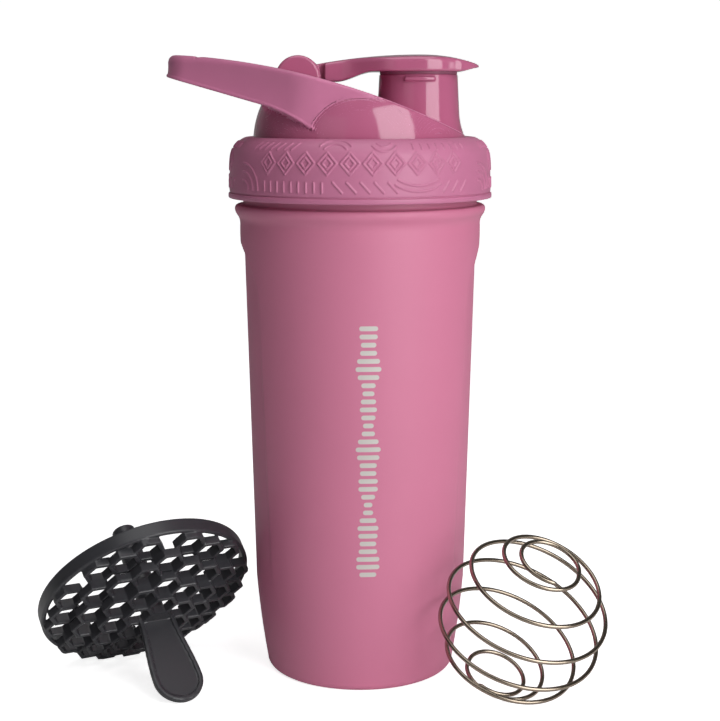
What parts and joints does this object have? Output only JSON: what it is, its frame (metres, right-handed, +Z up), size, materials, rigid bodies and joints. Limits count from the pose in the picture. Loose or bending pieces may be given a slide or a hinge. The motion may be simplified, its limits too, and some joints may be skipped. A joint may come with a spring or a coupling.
{
  "type": "shaker bottle",
  "caption": "Insulated steel shaker bottle with screw lid, flip cap over a round spout, carry handle, honeycomb strainer and wire whisk ball.",
  "frame": {"origin": "on the bottle's axis, on the surface that it stands on", "axes": "+Z up along the bottle's axis, +X from the axis towards the spout, the carry handle on -X"},
  "size_m": [0.2122, 0.1237, 0.2353],
  "materials": {
    "powder_coat": "fine matte powder coat over steel",
    "bare_steel": "brushed stainless steel",
    "wire_steel": "polished stainless wire",
    "matte_lid": "matte moulded plastic with a shallow relief",
    "satin_lid": "satin moulded plastic",
    "gloss_lid": "polished moulded plastic",
    "silicone": "soft silicone",
    "black_plastic": "black moulded plastic, semi-gloss"
  },
  "bodies": {
    "bottle": {"outer_shell": "powder_coat", "inner_liner": "bare_steel", "base_plate": "powder_coat", "vacuum_getter": "bare_steel"},
    "gasket": {"lid_gasket": "silicone"},
    "lid": {"lid_collar": "matte_lid", "lid_dome": "gloss_lid", "carry_handle": "satin_lid"},
    "cap": {"flip_cap": "gloss_lid", "cap_washer": "silicone"},
    "loose_strainer": {"strainer": "black_plastic"},
    "loose_ball": {"whisk_ball": "wire_steel"}
  },
  "joints": [
    {"name": "lid_lift", "type": "slide", "parent": "bottle", "child": "gasket", "axis": [0, 0, 1], "range_m": [0, 0.00626]},
    {"name": "lid_turn", "type": "hinge", "parent": "gasket", "child": "lid", "pos_m": [0, 0, 0.193], "axis": [0, 0, 1], "range_deg": [0, 450]},
    {"name": "cap_hinge", "type": "hinge", "parent": "lid", "child": "cap", "pos_m": [-0.0227, 0, 0.2264], "axis": [0, -1, 0], "range_deg": [0, 140]},
    {"name": "strainer_lift", "type": "slide", "parent": "bottle", "child": "loose_strainer", "axis": [0, 0, 1], "range_m": [0, 0.03]},
    {"name": "ball_lift", "type": "slide", "parent": "bottle", "child": "loose_ball", "axis": [0, 0, 1], "range_m": [0, 0.03]}
  ],
  "couplings": [
    {"joint": "lid_lift", "follows": "lid_turn", "m_per_rad": 0.00079577}
  ]
}
